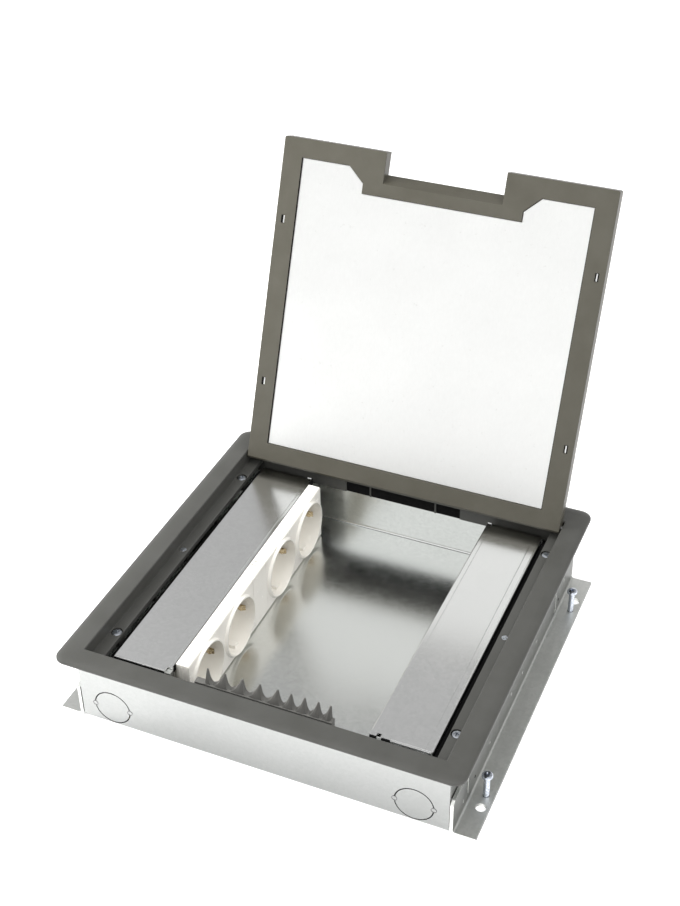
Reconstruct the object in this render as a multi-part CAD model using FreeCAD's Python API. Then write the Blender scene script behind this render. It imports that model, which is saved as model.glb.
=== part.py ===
import FreeCAD, Part
import math
import os

# Floor socket box: a folded sheet box let into a raised floor, a moulded frame with a hinged
# lid on top of it, two twin sockets on a side bar and a cable comb in the lid's cut-out.
# Millimetres, +Z up, +Y towards the hinge. The origin is the middle of the four fixing holes,
# on the underside of the two flange brackets.

# ---- driving dimensions ----
FLOOR_LEVEL = 52.2        # finished floor above the brackets' underside
RIM_HALF = 132.5          # outer rim of the frame, half side
RIM_RISE = 2.6            # rim above the finished floor
RIM_CORNER = 8.0          # plan radius of the rim's corners
RIM_ROUND = 6.3           # width of the rounded outer band of the rim
OPEN_X = 117.4            # half width of the frame's opening
OPEN_FRONT = -117.6       # front edge of the opening
OPEN_BACK = 114.6         # hinge edge of the opening
OUTLET_HALF = 43.5        # half width of the cable outlets in the skirt
OUTLET_RIB = 24.6         # their thin ribs stand here
OUTLET_TOP = 43.0
BOX_HALF = 121.7          # outside of the sheet box, half side
SHEET = 1.2               # sheet thickness of the box walls and the covers
BASE_SHEET = 1.0          # sheet thickness of the box floor
LEDGE_TOP = 45.3          # the lid's ledge, above the underside
LEDGE_IN = 109.1          # inner edge of the side ledges
LID_BOTTOM = 45.6         # underside of the closed lid
LID_THICK = 8.8
LID_HALF = 116.2          # half width of the lid
LID_FRONT = -116.6        # free edge of the closed lid
LID_BACK = 113.4          # hinged edge of the closed lid
PIVOT_Y = 110.7
PIVOT_Z = 51.8
LID_OPEN_DEG = 111.0      # from shut to leaning on the rim
PIN_R = 1.5
BORE_CLEARANCE = 0.05
NOTCH_HALF = 41.8         # cable cut-out in the lid's free edge
COMB_BACK = -103.6        # rear face of the cable comb
COMB_ROOT = 43.0          # bottom of the gaps between its teeth
COMB_TIP = 54.4
COVER_TOP = 44.3          # top of the two galvanised compartment covers
COVER_IN = 65.6           # inner edge of the covers
COVER_OUT = 105.1         # outer edge of the covers
COVER_HALF = 106.5        # half length of the covers
SCREW_X = 113.2           # frame screws on the ledges
SCREW_Y = 88.0
SCREW_HEAD_R = 3.3        # M3.5 pan head
SCREW_SEAT = 43.1         # the heads are sunk below the ledge
SCREW_R = 1.75
HEAD_RISE = 2.1           # height of every pan head
FLANGE_OUT = 138.3        # outer edge of the flange brackets
BRACKET_HALF = 122.1      # half length of the brackets
BRACKET_SHEET = 2.0
WEB_OUT = 124.1           # outer face of the brackets' webs
WEB_TOP = 35.0            # top of the webs between their low ends
WEB_LOW = 26.5            # top of the webs' ends, where the box wall shows above them
WEB_STEP = 104.0          # the web steps down here, front and back
TONGUES = [(-103.6, -96.4, 8.0), (82.4, 99.2, 15.5)]   # start, end and foot of each tongue
LEVEL_X = 133.0           # levelling screws
LEVEL_Y = 88.3
LEVEL_HEAD_TOP = 20.1
LEVEL_R = 2.0             # M4
LEVEL_HEAD_R = 3.4
FIX_X = 133.2             # fixing holes through the flanges
FIX_Y = 98.5
FIX_R = 3.2
SOCKET_FACE = -56.6       # front of the socket bar
COLLAR_FACE = -54.7       # front of the raised rings
BAR_BACK = -65.4          # rear edge of the bar's top
BAR_TOP = 44.7
BAR_BOTTOM = 1.6
BAR_HALF = 98.9           # half length of the socket bar
TWIN_INNER = 9.9          # inner end of each twin
SOCKET_PITCH = 45.0
SOCKET_Z = 22.9
COLLAR_R = 21.4
WELL_R = 19.5             # the well takes a 39 mm round plug
WELL_DEPTH = 17.5
PIN_HOLE_SPACING = 19.0
EARTH_PLACE = (-90.0, -112.0)
KNOCKOUT_X = 100.0
KNOCKOUT_Z = 14.8
KNOCKOUT_R = 11.8
KNOCKOUT_SLIT = 0.75      # width of the ring slit
CARRIER_TOP = 30.0        # top of the angle that holds the socket bar
MODULE_BACK = -73.6       # rear of the socket faces' housings
HOUSING_HALF = 20.2       # half height of those housings
CONTACT_HALF = 3.2        # half width of a folded pin contact at its mouth

X_AXIS = FreeCAD.Vector(1, 0, 0)
Y_AXIS = FreeCAD.Vector(0, 1, 0)
Z_AXIS = FreeCAD.Vector(0, 0, 1)
RIM_TOP = FLOOR_LEVEL + RIM_RISE
LID_TOP = LID_BOTTOM + LID_THICK
BOX_IN = BOX_HALF - SHEET


def vec(x, y, z):
    return FreeCAD.Vector(x, y, z)


def box(x0, x1, y0, y1, z0, z1):
    return Part.makeBox(x1 - x0, y1 - y0, z1 - z0, vec(x0, y0, z0))


def rod(radius, start, axis, length):
    return Part.makeCylinder(radius, length, start, axis)


def fused(solids):
    shape = solids[0].fuse(solids[1:]) if len(solids) > 1 else solids[0]
    return shape.removeSplitter()


def edges_along(shape, axis, test):
    """Straight edges parallel to an axis whose middle passes the test."""
    found = []
    for edge in shape.Edges:
        if len(edge.Vertexes) != 2:
            continue
        span = edge.Vertexes[1].Point - edge.Vertexes[0].Point
        if abs(span.Length - edge.Length) > 1e-6 or abs(abs(span.dot(axis)) - span.Length) > 1e-6:
            continue
        if test(edge.CenterOfMass):
            found.append(edge)
    return found


def near(a, b):
    return abs(a - b) < 1e-3


def prism(points, plane, start, length):
    """Extrude an outline given in the plane XZ (along Y), YZ (along X) or XY (along Z)."""
    place = {
        "XZ": lambda p: vec(p[0], start, p[1]),
        "YZ": lambda p: vec(start, p[0], p[1]),
        "XY": lambda p: vec(p[0], p[1], start),
    }[plane]
    along = {"XZ": Y_AXIS, "YZ": X_AXIS, "XY": Z_AXIS}[plane]
    corners = [place(p) for p in points]
    wire = Part.makePolygon(corners + [corners[0]])
    return Part.Face(wire).extrude(along * length)


def compound(solids):
    return Part.makeCompound(solids)


def as_open(shape):
    """Swing a piece of the shut lid to its open place."""
    turned = shape.copy()
    turned.rotate(vec(0, PIVOT_Y, PIVOT_Z), X_AXIS, -LID_OPEN_DEG)
    return turned


def pan_screw(x, y, head_bottom, length, head_r, shank_r):
    """Pan-head machine screw standing along Z."""
    head = rod(head_r, vec(x, y, head_bottom), Z_AXIS, HEAD_RISE)
    return fused([head, rod(shank_r, vec(x, y, head_bottom - length), Z_AXIS, length)])


# ---- the moulded frame ----

def rim_band(y):
    """Section of the rim's outer band across Y: its edge is a quarter ellipse over a short foot."""
    core = RIM_HALF - RIM_CORNER
    foot = FLOOR_LEVEL + 0.7
    centre = vec(RIM_HALF - RIM_ROUND, y, foot)
    crown = vec(centre.x, y, RIM_TOP)
    nose = vec(RIM_HALF, y, foot)
    round_edge = Part.ArcOfEllipse(Part.Ellipse(nose, crown, centre), 0, math.pi / 2).toShape()
    path = [crown, vec(core, y, RIM_TOP), vec(core, y, FLOOR_LEVEL), vec(RIM_HALF, y, FLOOR_LEVEL), nose]
    straight = [Part.makeLine(a, b) for a, b in zip(path, path[1:])]
    return Part.Face(Part.Wire([round_edge] + straight))


def rim():
    core = RIM_HALF - RIM_CORNER
    pieces = [box(-core, core, -core, core, FLOOR_LEVEL, RIM_TOP)]
    side = rim_band(-core).extrude(vec(0, 2 * core, 0))
    corner = rim_band(core).revolve(vec(core, core, 0), Z_AXIS, 90)
    for quarter in range(4):
        for piece in (side, corner):
            turned = piece.copy()
            turned.rotate(vec(0, 0, 0), Z_AXIS, 90 * quarter)
            pieces.append(turned)
    return fused(pieces)


def bezel_frame():
    """Frame moulding: rim, skirt inside the box, and the two ledges that the lid shuts on."""
    skirt_out = BOX_IN - 0.3
    skirt_wall = 2.4
    skirt_bottom = 34.4
    ledge_bottom = LEDGE_TOP - 3.0
    skirt = box(-skirt_out, skirt_out, -skirt_out, skirt_out, skirt_bottom, FLOOR_LEVEL)
    frame = fused([rim(), skirt])
    # the opening above the ledges, then the deeper opening between them
    frame = frame.cut(box(-OPEN_X, OPEN_X, OPEN_FRONT, OPEN_BACK, LEDGE_TOP, RIM_TOP + 1))
    frame = frame.cut(box(-LEDGE_IN, LEDGE_IN, OPEN_FRONT, OPEN_BACK, skirt_bottom - 1, RIM_TOP + 1))
    for side in (-1, 1):
        under = sorted((side * (LEDGE_IN - 1), side * (skirt_out - skirt_wall)))
        frame = frame.cut(box(under[0], under[1], OPEN_FRONT, OPEN_BACK, skirt_bottom - 1, ledge_bottom))
        # ribs under each ledge, the two end ones thick enough for a screw
        rib = sorted((side * (LEDGE_IN + 1.2), side * (skirt_out - 2)))
        for y in (-SCREW_Y, -SCREW_Y / 2, 0, SCREW_Y / 2, SCREW_Y):
            half = 3.6 if abs(y) == SCREW_Y else 1.0
            foot = skirt_bottom + 1.6
            frame = frame.fuse(box(rib[0], rib[1], y - half, y + half, foot, ledge_bottom + 0.5))
        for y in (-SCREW_Y, SCREW_Y):
            frame = frame.cut(rod(SCREW_R + 0.1, vec(side * SCREW_X, y, skirt_bottom), Z_AXIS, 14))
            frame = frame.cut(rod(SCREW_HEAD_R + 0.4, vec(side * SCREW_X, y, SCREW_SEAT), Z_AXIS, 4))
        # blind bores that the lid's hinge pins turn in
        bore = rod(PIN_R + BORE_CLEARANCE, vec(side * (OPEN_X - 1), PIVOT_Y, PIVOT_Z), X_AXIS * side, 3.4)
        frame = frame.cut(bore)
    # cable outlets with two thin ribs: windows in the front skirt, pockets in the back one
    outlet_ends = (-OUTLET_HALF, -OUTLET_RIB, OUTLET_RIB, OUTLET_HALF)
    for y0, y1, sill in ((OPEN_FRONT - 3, OPEN_FRONT + 1, 1.4), (OPEN_BACK - 1, skirt_out - 1, -1)):
        for left, right in zip(outlet_ends, outlet_ends[1:]):
            frame = frame.cut(box(left + 0.6, right - 0.6, y0, y1, skirt_bottom + sill, OUTLET_TOP))
    frame = frame.removeSplitter()
    # eased top edge of the opening: the open lid leans on the one at the back
    lip = edges_along(frame, X_AXIS, lambda c: near(c.z, RIM_TOP) and near(c.y, OPEN_BACK))
    lip += edges_along(frame, X_AXIS, lambda c: near(c.z, RIM_TOP) and near(c.y, OPEN_FRONT))
    lip += edges_along(frame, Y_AXIS, lambda c: near(c.z, RIM_TOP) and near(abs(c.x), OPEN_X))
    return frame.makeChamfer(0.5, lip)


# ---- the lid, drawn shut ----

def lid_outline(inset, notch_depth):
    """Plan of the lid with the cable cut-out in its free edge."""
    x = LID_HALF - inset
    front = LID_FRONT + inset
    notch = NOTCH_HALF + inset
    return [(-x, LID_BACK - inset), (-x, front), (-notch, front), (-notch, front + notch_depth),
            (notch, front + notch_depth), (notch, front), (x, front), (x, LID_BACK - inset)]


def plate_outline(grow):
    """Plan of the sheet's opening: a square with a stepped, bevelled front round the cut-out."""
    x = 102.1 + grow
    front = -103.8 - grow
    back = 99.6 + grow
    outer = 67.0 - grow
    inner = 56.0 - grow
    shoulder = -93.6 - grow
    inside = -86.8 - grow
    return [(-x, back), (-x, front), (-outer, front), (-inner, shoulder), (-inner, inside),
            (inner, inside), (inner, shoulder), (outer, front), (x, front), (x, back)]


def lid_frame_shut():
    notch_under = 21.1
    notch_top = 15.5
    recess_floor = 50.1
    plate_top = 48.1
    # section of the slab: rounded over the pins at the hinge edge, eased below them
    section = [(LID_FRONT, LID_BOTTOM), (LID_BACK - 1.5, LID_BOTTOM), (LID_BACK, LID_BOTTOM + 1.5)]
    for step in range(0, 6):
        angle = math.radians(18 * step)
        section.append((LID_BACK - 2.4 + 2.4 * math.cos(angle), LID_TOP - 2.4 + 2.4 * math.sin(angle)))
    section.append((LID_FRONT, LID_TOP))
    lid = prism(section, "YZ", -LID_HALF, 2 * LID_HALF)
    lid = lid.makeFillet(1.5, edges_along(lid, Z_AXIS, lambda c: near(c.y, LID_FRONT)))
    # recess for the floor covering
    recess = prism(lid_outline(3.0, notch_top), "XY", recess_floor, LID_THICK)
    lid = lid.cut(recess)
    # cable cut-out with a ramped end
    ramp = [(LID_FRONT - 1, LID_BOTTOM - 1), (LID_FRONT + notch_under, LID_BOTTOM - 1),
            (LID_FRONT + notch_under, LID_BOTTOM), (LID_FRONT + notch_top, LID_TOP),
            (LID_FRONT + notch_top, LID_TOP + 1), (LID_FRONT - 1, LID_TOP + 1)]
    lid = lid.cut(prism(ramp, "YZ", -NOTCH_HALF, 2 * NOTCH_HALF))
    # opening for the sheet, with the lip that it seats against
    lid = lid.cut(prism(plate_outline(0), "XY", LID_BOTTOM - 1, plate_top - LID_BOTTOM + 1))
    lid = lid.cut(prism(plate_outline(-4.0), "XY", plate_top - 0.5, 4))
    # four slots through the side rails
    for x in (-110.9, 110.9):
        for y in (-60.5, 55.0):
            lid = lid.cut(box(x - 1.3, x + 1.3, y - 2.8, y + 2.8, LID_BOTTOM - 1, recess_floor + 1))
    # pin bosses in the recess corners, and the bores the pins are pressed in
    for side in (-1, 1):
        boss = sorted((side * 100.0, side * (LID_HALF - 1)))
        lid = lid.fuse(box(boss[0], boss[1], PIVOT_Y - 3.6, PIVOT_Y + 0.6, recess_floor - 1, LID_TOP - 0.4))
        lid = lid.cut(rod(PIN_R, vec(side * 104, PIVOT_Y, PIVOT_Z), X_AXIS * side, 14))
    return lid.removeSplitter()


def lid_plate_shut():
    plate = prism(plate_outline(-0.3), "XY", 46.6, 1.5)
    return plate


def hinge_pin_shut(side):
    return rod(PIN_R, vec(side * 104, PIVOT_Y, PIVOT_Z), X_AXIS * side, OPEN_X + 2.2 - 104)


# ---- the cable comb ----

def comb_tooth(tip, left_span, right_span):
    """Thorn-like tooth: a steep right flank, a hollow left one and a ridge down its front."""
    levels = []
    for height in (-0.16, 0.0, 0.12, 0.3, 0.6, 1.0):
        low = 1 - max(height, 0.0)
        left = tip - 0.5 - (left_span - 0.5) * low ** 2
        right = tip + 0.45 + (right_span - 0.45) * low ** 6
        ridge = tip + 0.1 - 0.31 * (left_span - 0.5) * low
        front = COMB_BACK - 0.8 - 3.4 * low ** 1.2
        z = COMB_ROOT + (COMB_TIP - COMB_ROOT) * height
        corners = [(left, COMB_BACK), (right, COMB_BACK), (ridge, front), (left, front)]
        levels.append([vec(x, y, z) for x, y in corners])
    outlines = [levels[0], levels[-1]]
    for lower, upper in zip(levels, levels[1:]):
        for i in range(4):
            j = (i + 1) % 4
            outlines.append([lower[i], lower[j], upper[j]])
            outlines.append([lower[i], upper[j], upper[i]])
    faces = [Part.Face(Part.makePolygon(points + points[:1])) for points in outlines]
    return Part.makeSolid(Part.makeShell(faces))


def cable_comb():
    """Nine thorn-like teeth on a standing web, four wide gaps and then four narrow ones."""
    web_front = COMB_BACK - 4.4
    foot_z = 36.2
    right_end = 42.8
    left_end = -47.8
    wide, narrow = 11.63, 8.8
    last_tip = 40.7
    web = [(web_front, foot_z), (COMB_BACK, foot_z), (COMB_BACK, COMB_ROOT), (web_front, COMB_ROOT - 1.4)]
    parts = [prism(web, "YZ", left_end, right_end - left_end)]
    # the left end rises to the first tooth
    shoulder = [(left_end, foot_z), (-39.6, foot_z), (-39.6, LEDGE_TOP - 0.1), (-41.2, LEDGE_TOP - 0.1),
                (left_end, LEDGE_TOP - 3.3)]
    parts.append(prism(shoulder, "XZ", web_front, COMB_BACK - web_front))
    tip = -40.1
    parts.append(comb_tooth(tip, 1.1, 3.0))
    for pitch in [wide] * 4 + [narrow] * 4:
        tip = min(tip + pitch, last_tip)
        valley = 3.0 if pitch == wide else 2.2
        right_span = 0.9 if tip == last_tip else valley
        parts.append(comb_tooth(tip, pitch - valley, right_span))
    # the foot reaches forward and hooks in the window of the front skirt
    parts.append(box(-41.0, 41.0, OPEN_FRONT + 0.2, web_front + 1, foot_z, foot_z + 2.4))
    for x in (-34.0, 0.0, 34.0):
        parts.append(box(x - 5, x + 5, OPEN_FRONT - 2.2, OPEN_FRONT + 1, foot_z, foot_z + 2.0))
    gusset = [(web_front - 7, foot_z + 2), (web_front + 1, foot_z + 2), (web_front + 1, COMB_ROOT - 2.4)]
    for x in (-30.0, -10.0, 10.0, 30.0):
        parts.append(prism(gusset, "YZ", x - 0.6, 1.2))
    return fused(parts)


# ---- the folded box ----

def knockout_slit(x, y, length):
    """Ring slit through the wall, with the two nibs that hold the disc until it is knocked out."""
    centre = vec(x, y, KNOCKOUT_Z)
    slit = rod(KNOCKOUT_R + KNOCKOUT_SLIT, centre, Y_AXIS, length)
    slit = slit.cut(rod(KNOCKOUT_R, centre, Y_AXIS, length))
    reach = KNOCKOUT_R + 2
    return slit.cut(box(x - reach, x + reach, y, y + length, KNOCKOUT_Z - 1.4, KNOCKOUT_Z + 1.4))


def fold_round(solid, bottom, radius):
    """Round the four lower edges of a box."""
    low = edges_along(solid, X_AXIS, lambda c: near(c.z, bottom))
    low += edges_along(solid, Y_AXIS, lambda c: near(c.z, bottom))
    return solid.makeFillet(radius, low)


def tub():
    """Box folded up from one sheet, open at the top and along its corner seams."""
    bend = 1.7
    outside = box(-BOX_HALF, BOX_HALF, -BOX_HALF, BOX_HALF, 0, FLOOR_LEVEL - 0.2)
    inside = box(-BOX_IN, BOX_IN, -BOX_IN, BOX_IN, BASE_SHEET, FLOOR_LEVEL)
    shell = fold_round(outside, 0, bend + BASE_SHEET).cut(fold_round(inside, BASE_SHEET, bend))
    for sx in (-1, 1):
        for sy in (-1, 1):
            seam = sorted((sx * (BOX_IN - 0.2), sx * (BOX_HALF + 0.2)))
            gap = sorted((sy * (BOX_IN - 0.35), sy * (BOX_IN + 0.05)))
            shell = shell.cut(box(seam[0], seam[1], gap[0], gap[1], bend + 1.2, FLOOR_LEVEL))
    for x in (-KNOCKOUT_X, KNOCKOUT_X):
        for y in (-BOX_HALF - 1, BOX_IN - 1):
            shell = shell.cut(knockout_slit(x, y, SHEET + 2))
    return shell.removeSplitter()


def bracket_web():
    """Outline of the web in its own plane."""
    end = BRACKET_HALF
    ease = 2.5
    half = [(WEB_STEP - ease, WEB_TOP), (WEB_STEP, WEB_LOW), (end - ease, WEB_LOW), (end, WEB_LOW - ease)]
    half.append((end, 0))
    return half + [(-y, z) for y, z in reversed(half)]


def bracket_tongue(y0, y1, foot):
    """Tongue slit free in the web: it is set in and spot-welded to the box wall."""
    inner = WEB_OUT - BRACKET_SHEET
    knee, tip = foot + 4.0, WEB_TOP - 3.0
    outline = [(inner, foot - 0.1), (WEB_OUT, foot - 0.1), (BOX_HALF + BRACKET_SHEET, knee),
               (BOX_HALF + BRACKET_SHEET, tip), (BOX_HALF, tip), (BOX_HALF, knee)]
    return prism(outline, "XZ", y0, y1 - y0)


def flange_bracket(side):
    """Folded angle: a web beside the box and a flange on the subfloor."""
    t = BRACKET_SHEET
    inner = WEB_OUT - t
    bend = 1.5
    section = [(inner, 0), (FLANGE_OUT, 0), (FLANGE_OUT, t)]
    section += [(WEB_OUT, t), (WEB_OUT, WEB_TOP), (inner, WEB_TOP)]
    bracket = prism(section, "XZ", -BRACKET_HALF, 2 * BRACKET_HALF)
    root = edges_along(bracket, Y_AXIS, lambda c: near(c.x, WEB_OUT) and near(c.z, t))
    bracket = bracket.makeFillet(bend, root)
    outside = edges_along(bracket, Y_AXIS, lambda c: near(c.x, inner) and near(c.z, 0))
    bracket = bracket.makeFillet(bend + t, outside)
    lower = prism(bracket_web(), "YZ", inner - 1, t + 2)
    flange = box(WEB_OUT, FLANGE_OUT, -BRACKET_HALF, BRACKET_HALF, -1, t + 3)
    bracket = bracket.common(fused([lower, flange]))
    slit = 1.0
    for y0, y1, foot in TONGUES:
        bracket = bracket.cut(box(inner - 1, WEB_OUT + 1, y0 - slit, y1 + slit, foot, WEB_TOP + 1))
        bracket = bracket.fuse(bracket_tongue(y0, y1, foot))
    # the slot before the rear tongue runs down to a wider foot at the bend
    slot_y = TONGUES[1][0] - slit
    for half, bottom, top in ((slit, 4.0, WEB_TOP + 1), (2.1, 3.6, 7.0)):
        bracket = bracket.cut(box(inner - 1, WEB_OUT + 1, slot_y - half, slot_y + half, bottom, top))
    for sy in (-1, 1):
        bracket = bracket.cut(rod(FIX_R, vec(FIX_X, sy * FIX_Y, -1), Z_AXIS, 4))
        bracket = bracket.cut(rod(LEVEL_R + BORE_CLEARANCE, vec(LEVEL_X, sy * LEVEL_Y, -1), Z_AXIS, 4))
    bracket = bracket.removeSplitter()
    if side < 0:
        bracket.rotate(vec(0, 0, 0), Z_AXIS, 180)
    return bracket


def levelling_screw(sx, sy):
    head_bottom = LEVEL_HEAD_TOP - HEAD_RISE
    return pan_screw(sx * LEVEL_X, sy * LEVEL_Y, head_bottom, head_bottom - 0.1, LEVEL_HEAD_R, LEVEL_R)


def frame_screws():
    return compound([pan_screw(sx * SCREW_X, sy * SCREW_Y, SCREW_SEAT, 8, SCREW_HEAD_R, SCREW_R)
                     for sx in (-1, 1) for sy in (-1, 1)])


# ---- compartment covers ----

def sheet_cover(side, wall_bottom):
    """Folded cover: flat top, outer wall to the box floor, inner wall down to wall_bottom."""
    inner, outer = COVER_IN, COVER_OUT
    low = COVER_TOP - SHEET
    points = [(inner, wall_bottom), (inner, COVER_TOP), (outer, COVER_TOP), (outer, BASE_SHEET + 0.1),
              (outer - SHEET, BASE_SHEET + 0.1), (outer - SHEET, low), (inner + SHEET, low),
              (inner + SHEET, wall_bottom)]
    cover = prism(points, "XZ", -COVER_HALF, 2 * COVER_HALF)
    top_edges = edges_along(cover, Y_AXIS, lambda c: near(c.z, COVER_TOP))
    cover = cover.makeFillet(1.1, top_edges)
    if side < 0:
        cover.rotate(vec(0, 0, 0), Z_AXIS, 180)
    return cover


def right_cover():
    cover = sheet_cover(1, BASE_SHEET + 0.1)
    # end flaps folded down at the front and back
    for y0, y1 in ((-COVER_HALF, -COVER_HALF + SHEET), (COVER_HALF - SHEET, COVER_HALF)):
        cover = cover.fuse(box(COVER_IN + 3, COVER_OUT - 3, y0, y1, 30, COVER_TOP - 0.6))
    # two notches leave a locating tab at the front inner corner
    for x0, x1 in ((COVER_IN - 1, COVER_IN + 2.4), (COVER_IN + 4.6, COVER_IN + 7.2)):
        cover = cover.cut(box(x0, x1, -COVER_HALF - 1, -COVER_HALF + 2.4, 20, COVER_TOP + 1))
    return cover.removeSplitter()


def left_cover():
    """Same section with only a short inner lip, which rests behind the socket bar."""
    inner, outer = -COVER_OUT, -COVER_IN
    low = COVER_TOP - SHEET
    points = [(inner, BASE_SHEET + 0.1), (inner, COVER_TOP), (outer, COVER_TOP), (outer, low),
              (inner + SHEET, low), (inner + SHEET, BASE_SHEET + 0.1)]
    cover = prism(points, "XZ", -COVER_HALF, 2 * COVER_HALF)
    cover = cover.makeFillet(1.1, edges_along(cover, Y_AXIS, lambda c: near(c.z, COVER_TOP)
                                              and near(c.x, inner)))
    for y0, y1 in ((-COVER_HALF, -COVER_HALF + SHEET), (COVER_HALF - SHEET, COVER_HALF)):
        cover = cover.fuse(box(inner + 3, outer - 0.2, y0, y1, 24, COVER_TOP - 0.6))
    # notch at the front inner corner, clear of the end of the socket bar
    cover = cover.cut(box(outer - 3.6, outer + 1, -COVER_HALF - 1, -COVER_HALF + 4.0, 20, COVER_TOP + 1))
    return cover.removeSplitter()


# ---- socket bar ----

def twin_centres(side):
    """Y of the two wells of one twin; side is -1 for the front twin, 1 for the rear one."""
    middle = side * (TWIN_INNER + BAR_HALF) / 2
    return [middle - SOCKET_PITCH / 2, middle + SOCKET_PITCH / 2]


def bar_shell(y0, y1):
    """Solid bar section with eased long front edges."""
    shell = box(BAR_BACK, SOCKET_FACE, y0, y1, BAR_BOTTOM, BAR_TOP)
    return shell.makeFillet(1.2, edges_along(shell, Y_AXIS, lambda c: near(c.x, SOCKET_FACE)))


def socket_face(side):
    """One twin: a bar front with two raised rings, and the housing that holds its two wells."""
    y0, y1 = sorted((side * TWIN_INNER, side * BAR_HALF))
    back = COLLAR_FACE - WELL_DEPTH
    housing = box(MODULE_BACK, BAR_BACK + 1, y0 + 2, y1 - 2, SOCKET_Z - HOUSING_HALF, SOCKET_Z + HOUSING_HALF)
    solids = [bar_shell(y0, y1), housing]
    for y in twin_centres(side):
        rise = COLLAR_FACE - SOCKET_FACE + 0.1
        solids.append(Part.makeCone(COLLAR_R - 1.0, COLLAR_R, rise, vec(COLLAR_FACE, y, SOCKET_Z), -X_AXIS))
    face = fused(solids)
    for y in twin_centres(side):
        mouth = vec(COLLAR_FACE, y, SOCKET_Z)
        face = face.cut(rod(WELL_R, mouth, -X_AXIS, WELL_DEPTH))
        for dy in (-1, 1):
            # the earth clips stand in slots at the sides
            slot = sorted((y + dy * (WELL_R - 4.5), y + dy * (WELL_R - 1.6)))
            face = face.cut(box(back - 3, back + 1, slot[0], slot[1], SOCKET_Z - 2.6, SOCKET_Z + 2.6))
            # key ribs above and below turn the plug the right way
            rib = sorted((SOCKET_Z + dy * (WELL_R - 2.3), SOCKET_Z + dy * (WELL_R + 0.2)))
            face = face.fuse(box(back, COLLAR_FACE - 5.0, y - 2.4, y + 2.4, rib[0], rib[1]))
    # plug pins enter one above the other
    for y, z in pin_places(side):
        face = face.cut(rod(2.6, vec(back + 1, y, z), -X_AXIS, 6))
    return face.removeSplitter()


def bar_spacer():
    """Blank end to end with the two twins, open at the back."""
    y0, y1 = -TWIN_INNER + 0.2, TWIN_INNER - 0.2
    wall = 1.8
    hollow = box(BAR_BACK - 1, SOCKET_FACE - 2.4, y0 + wall, y1 - wall, BAR_BOTTOM + wall, BAR_TOP - wall)
    return bar_shell(y0, y1).cut(hollow)


def pin_places(side):
    """(y, z) of the pin contacts of one twin."""
    half = PIN_HOLE_SPACING / 2
    return [(y, SOCKET_Z + dz) for y in twin_centres(side) for dz in (-half, half)]


def socket_base(side):
    """Rear housing with a pocket for each contact and each clip, and wire entries at the back."""
    y0, y1 = sorted((side * (TWIN_INNER + 1.5), side * (BAR_HALF - 1.5)))
    front = MODULE_BACK - 0.3
    rear = -98.0
    base = box(rear, front, y0, y1, 4.2, COVER_TOP - SHEET - 0.3)
    base = base.makeFillet(1.5, edges_along(base, Y_AXIS, lambda c: near(c.x, rear)))
    pocket = CONTACT_HALF + 0.3
    for y, z in pin_places(side):
        base = base.cut(box(front - 14, front + 1, y - pocket, y + pocket, z - pocket, z + pocket))
        base = base.cut(box(rear - 1, rear + 6, y - 1.6, y + 1.6, z - 1.6, z + 1.6))
    for y in twin_centres(side):
        for dy in (-1, 1):
            slot = sorted((y + dy * (WELL_R - 4.9), y + dy * (WELL_R - 1.2)))
            base = base.cut(box(front - 9, front + 1, slot[0], slot[1], SOCKET_Z - 3.0, SOCKET_Z + 3.0))
    return base.removeSplitter()


def earth_clips(side):
    """Sprung brass strips standing at the two sides of each well."""
    clips = []
    back = COLLAR_FACE - WELL_DEPTH
    for y in twin_centres(side):
        for dy in (-1, 1):
            wall = y + dy * (WELL_R - 2.6)
            nose = y + dy * (WELL_R - 4.2)
            outline = [(back - 8.5, wall), (back + 4.0, wall), (back + 8.5, nose), (back + 11.5, wall),
                       (back + 11.5, wall + dy * 0.6), (back + 8.4, nose + dy * 0.7),
                       (back + 3.8, wall + dy * 0.6), (back - 8.5, wall + dy * 0.6)]
            clips.append(prism(outline, "XY", SOCKET_Z - 2.0, 4.0))
    return compound(clips)


def pin_contacts(side):
    """Folded brass strips behind the pin holes: two leaves pinched together before their bend."""
    mouth = COLLAR_FACE - WELL_DEPTH - 1.9
    thick = 0.5
    contacts = []
    for y, z in pin_places(side):
        leaf = [(0.0, CONTACT_HALF), (4.0, CONTACT_HALF - 0.7), (9.0, CONTACT_HALF), (13.0, CONTACT_HALF)]
        inside = [(depth, half - thick) for depth, half in leaf[:-1]] + [(13.0 - thick, CONTACT_HALF - thick)]
        outline = [(depth, half) for depth, half in leaf] + [(depth, -half) for depth, half in reversed(leaf)]
        outline += [(depth, -half) for depth, half in inside] + list(reversed(inside))
        contacts.append(prism([(mouth - depth, y + half) for depth, half in outline], "XY", z - 2.4, 4.8))
    return compound(contacts)


def socket_carrier():
    """Folded angle welded to the box floor; the modules' housings pass between its tabs."""
    x = BAR_BACK - 0.2
    foot_top = BASE_SHEET + SHEET
    section = [(x, BASE_SHEET), (x, CARRIER_TOP), (x - SHEET, CARRIER_TOP), (x - SHEET, foot_top)]
    section += [(x - 12, foot_top), (x - 12, BASE_SHEET)]
    carrier = prism(section, "XZ", -BAR_HALF, 2 * BAR_HALF)
    root = edges_along(carrier, Y_AXIS, lambda c: near(c.x, x - SHEET) and near(c.z, foot_top))
    carrier = carrier.makeFillet(1.0, root)
    bottom = SOCKET_Z - HOUSING_HALF - 0.3
    for side in (-1, 1):
        y0, y1 = sorted((side * TWIN_INNER, side * BAR_HALF))
        carrier = carrier.cut(box(MODULE_BACK - 1, x + 1, y0 + 1.7, y1 - 1.7, bottom, CARRIER_TOP + 1))
    return carrier.removeSplitter()


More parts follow.
